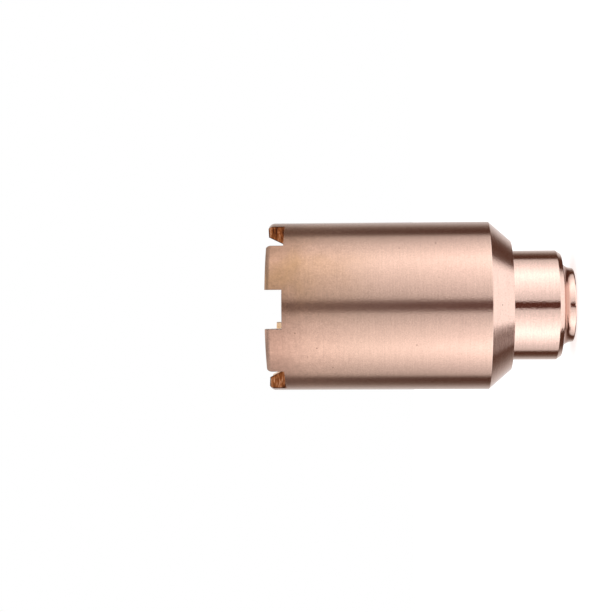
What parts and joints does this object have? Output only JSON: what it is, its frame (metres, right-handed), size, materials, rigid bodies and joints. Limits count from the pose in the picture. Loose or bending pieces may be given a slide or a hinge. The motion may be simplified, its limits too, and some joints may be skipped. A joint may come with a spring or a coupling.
{
  "type": "gas heating nozzle",
  "caption": "Round torch heating nozzle: a turned copper shell with a toothed mouth, stepped neck and threaded inlet, holding brass inserts with V-grooves that share out the gas.",
  "frame": {"origin": "centre of the inlet end, where the nozzle stands", "axes": "+Z along the nozzle's axis in the direction of the gas, from the inlet to the mouth; -Y through the middle of one notch"},
  "size_m": [0.0382, 0.0382, 0.0686],
  "materials": {
    "copper_shell": "satin turned copper",
    "ring_brass": "fine turned brass",
    "core_brass": "fine turned brass"
  },
  "bodies": {
    "root": {"nozzle_shell": "copper_shell", "outer_flute_ring": "ring_brass", "inner_flute_core": "core_brass"}
  },
  "joints": []
}
